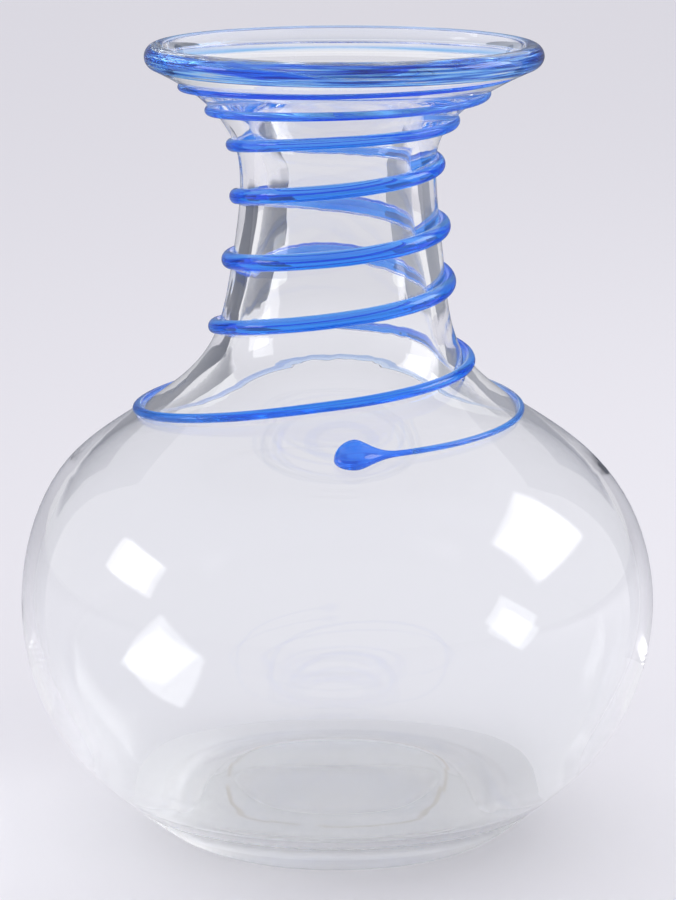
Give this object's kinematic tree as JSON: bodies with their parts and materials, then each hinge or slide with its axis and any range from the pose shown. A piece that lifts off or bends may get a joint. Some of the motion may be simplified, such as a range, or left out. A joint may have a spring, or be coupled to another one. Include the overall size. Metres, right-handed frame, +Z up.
{
  "type": "hyacinth forcing vase",
  "caption": "Blown glass hyacinth vase: a round water belly, a narrow neck and a flared mouth that holds the bulb, with blue glass wrapped on the lip and trailed down the neck.",
  "frame": {"origin": "centre of the resting ring, on the plane that the vase stands on", "axes": "+Z up along the vase's axis, -Y towards the viewer, +X to the viewer's right"},
  "size_m": [0.156, 0.156, 0.1961],
  "materials": {
    "clear_glass": "clear, fire polished, free blown",
    "blue_glass": "clear bright blue, fire polished, trailed on hot"
  },
  "bodies": {
    "root": {"vessel": "clear_glass", "lip_wrap": "blue_glass", "neck_trail": "blue_glass", "trail_drop": "blue_glass"}
  },
  "joints": []
}
